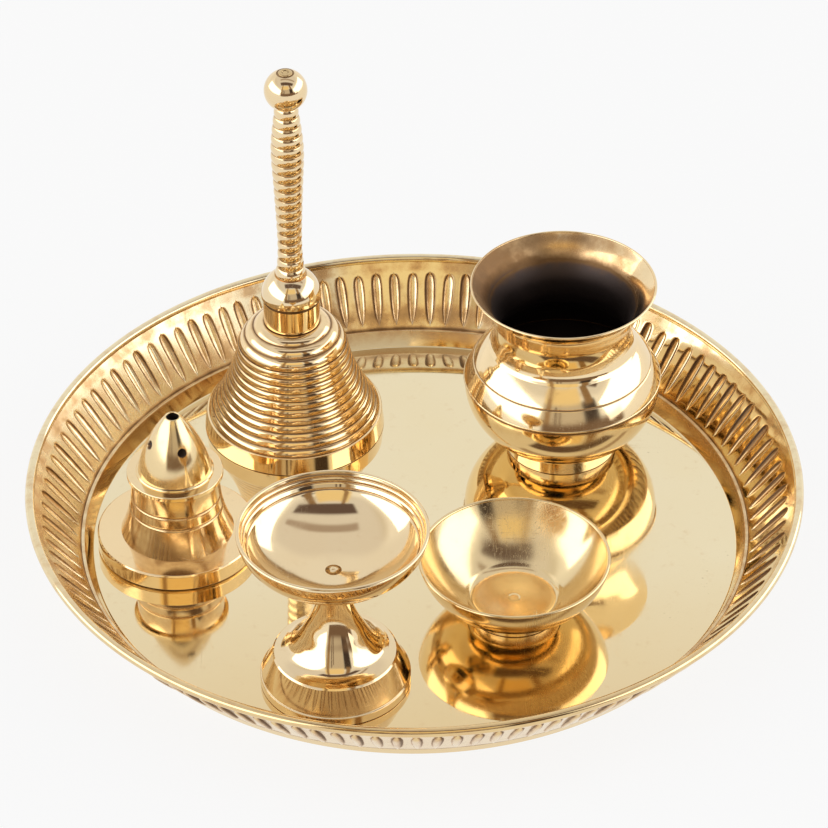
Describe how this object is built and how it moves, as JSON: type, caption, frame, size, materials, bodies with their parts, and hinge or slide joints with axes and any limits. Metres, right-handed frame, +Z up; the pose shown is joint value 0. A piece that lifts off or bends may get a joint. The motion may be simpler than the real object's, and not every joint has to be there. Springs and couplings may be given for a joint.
{
  "type": "puja thali set",
  "caption": "Round brass offering tray with a fluted wall, carrying a hand bell, a water pot, a bowl, a stemmed lamp dish and an incense stand that lift off.",
  "frame": {"origin": "middle of the tray's underside, where it stands on the table", "axes": "+Z up, +X to the right as the tray is seen from its front, +Y from the front of the tray to the bell's side"},
  "size_m": [0.25, 0.25, 0.1403],
  "materials": {
    "brass": "polished",
    "brass_fittings": "satin"
  },
  "bodies": {
    "tray": {"thali_plate": "brass"},
    "bell": {"bell_cup": "brass", "bell_handle": "brass", "bell_rod": "brass_fittings"},
    "ring": {"clapper_ring": "brass_fittings"},
    "striker": {"clapper": "brass_fittings"},
    "kalash": {"kalash_foot": "brass", "kalash_base": "brass", "kalash_neck": "brass"},
    "bowl": {"bowl": "brass"},
    "diya": {"diya_dish": "brass", "diya_foot": "brass", "diya_rivet": "brass_fittings"},
    "incense_stand": {"incense_saucer": "brass", "incense_body": "brass", "incense_cone": "brass", "incense_screw": "brass_fittings"}
  },
  "joints": [
    {"name": "bell_lift", "type": "slide", "parent": "tray", "child": "bell", "axis": [0, 0, 1], "range_m": [0, 0.09]},
    {"name": "kalash_lift", "type": "slide", "parent": "tray", "child": "kalash", "axis": [0, 0, 1], "range_m": [0, 0.08]},
    {"name": "bowl_lift", "type": "slide", "parent": "tray", "child": "bowl", "axis": [0, 0, 1], "range_m": [0, 0.06]},
    {"name": "diya_lift", "type": "slide", "parent": "tray", "child": "diya", "axis": [0, 0, 1], "range_m": [0, 0.08]},
    {"name": "incense_stand_lift", "type": "slide", "parent": "tray", "child": "incense_stand", "axis": [0, 0, 1], "range_m": [0, 0.08]},
    {"name": "ring_swing", "type": "hinge", "parent": "bell", "child": "ring", "pos_m": [-0.04, 0.0624, 0.03395], "axis": [1, 0, 0], "range_deg": [-30, 30]},
    {"name": "clapper_swing", "type": "hinge", "parent": "ring", "child": "striker", "pos_m": [-0.04, 0.0624, 0.03015], "axis": [0, 1, 0], "range_deg": [-30, 30]}
  ]
}
